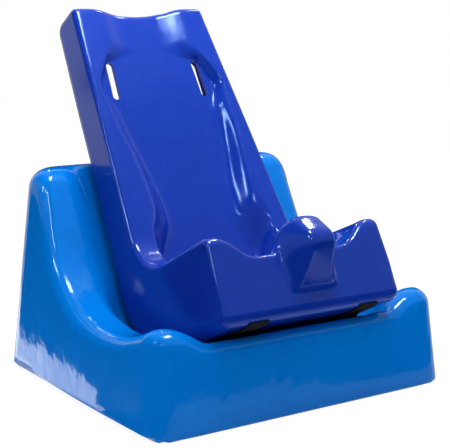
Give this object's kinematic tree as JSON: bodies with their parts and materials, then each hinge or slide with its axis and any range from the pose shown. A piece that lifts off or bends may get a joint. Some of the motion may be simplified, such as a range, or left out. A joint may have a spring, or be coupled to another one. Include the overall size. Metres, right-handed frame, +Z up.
{
  "type": "feeder seat",
  "caption": "Moulded child's feeder seat: a contoured reclined seat with pommel, side rims and shoulder slots, nested in a wedge-shaped floor base.",
  "frame": {"origin": "centre of the base's footprint, on the floor", "axes": "+Z up, +X to the child's left, +Y from the front lip to the seat's back"},
  "size_m": [0.394, 0.4202, 0.4272],
  "materials": {
    "seat_vinyl": "semi-gloss royal blue moulded vinyl skin",
    "base_vinyl": "glossy azure moulded vinyl skin",
    "foam": "matt cream open-cell foam",
    "hook_tape": "black woven tape with hooks",
    "loop_tape": "black woven tape with loops"
  },
  "bodies": {
    "base": {"base_skin": "base_vinyl", "base_foam_core": "foam", "loop_strip_right": "loop_tape", "loop_strip_left": "loop_tape"},
    "seat": {"seat_skin": "seat_vinyl", "seat_foam_core": "foam", "hook_strip_right": "hook_tape", "hook_strip_left": "hook_tape"}
  },
  "joints": [
    {"name": "seat_lift", "type": "slide", "parent": "base", "child": "seat", "axis": [0, 0, 1], "range_m": [0, 0.21]}
  ]
}
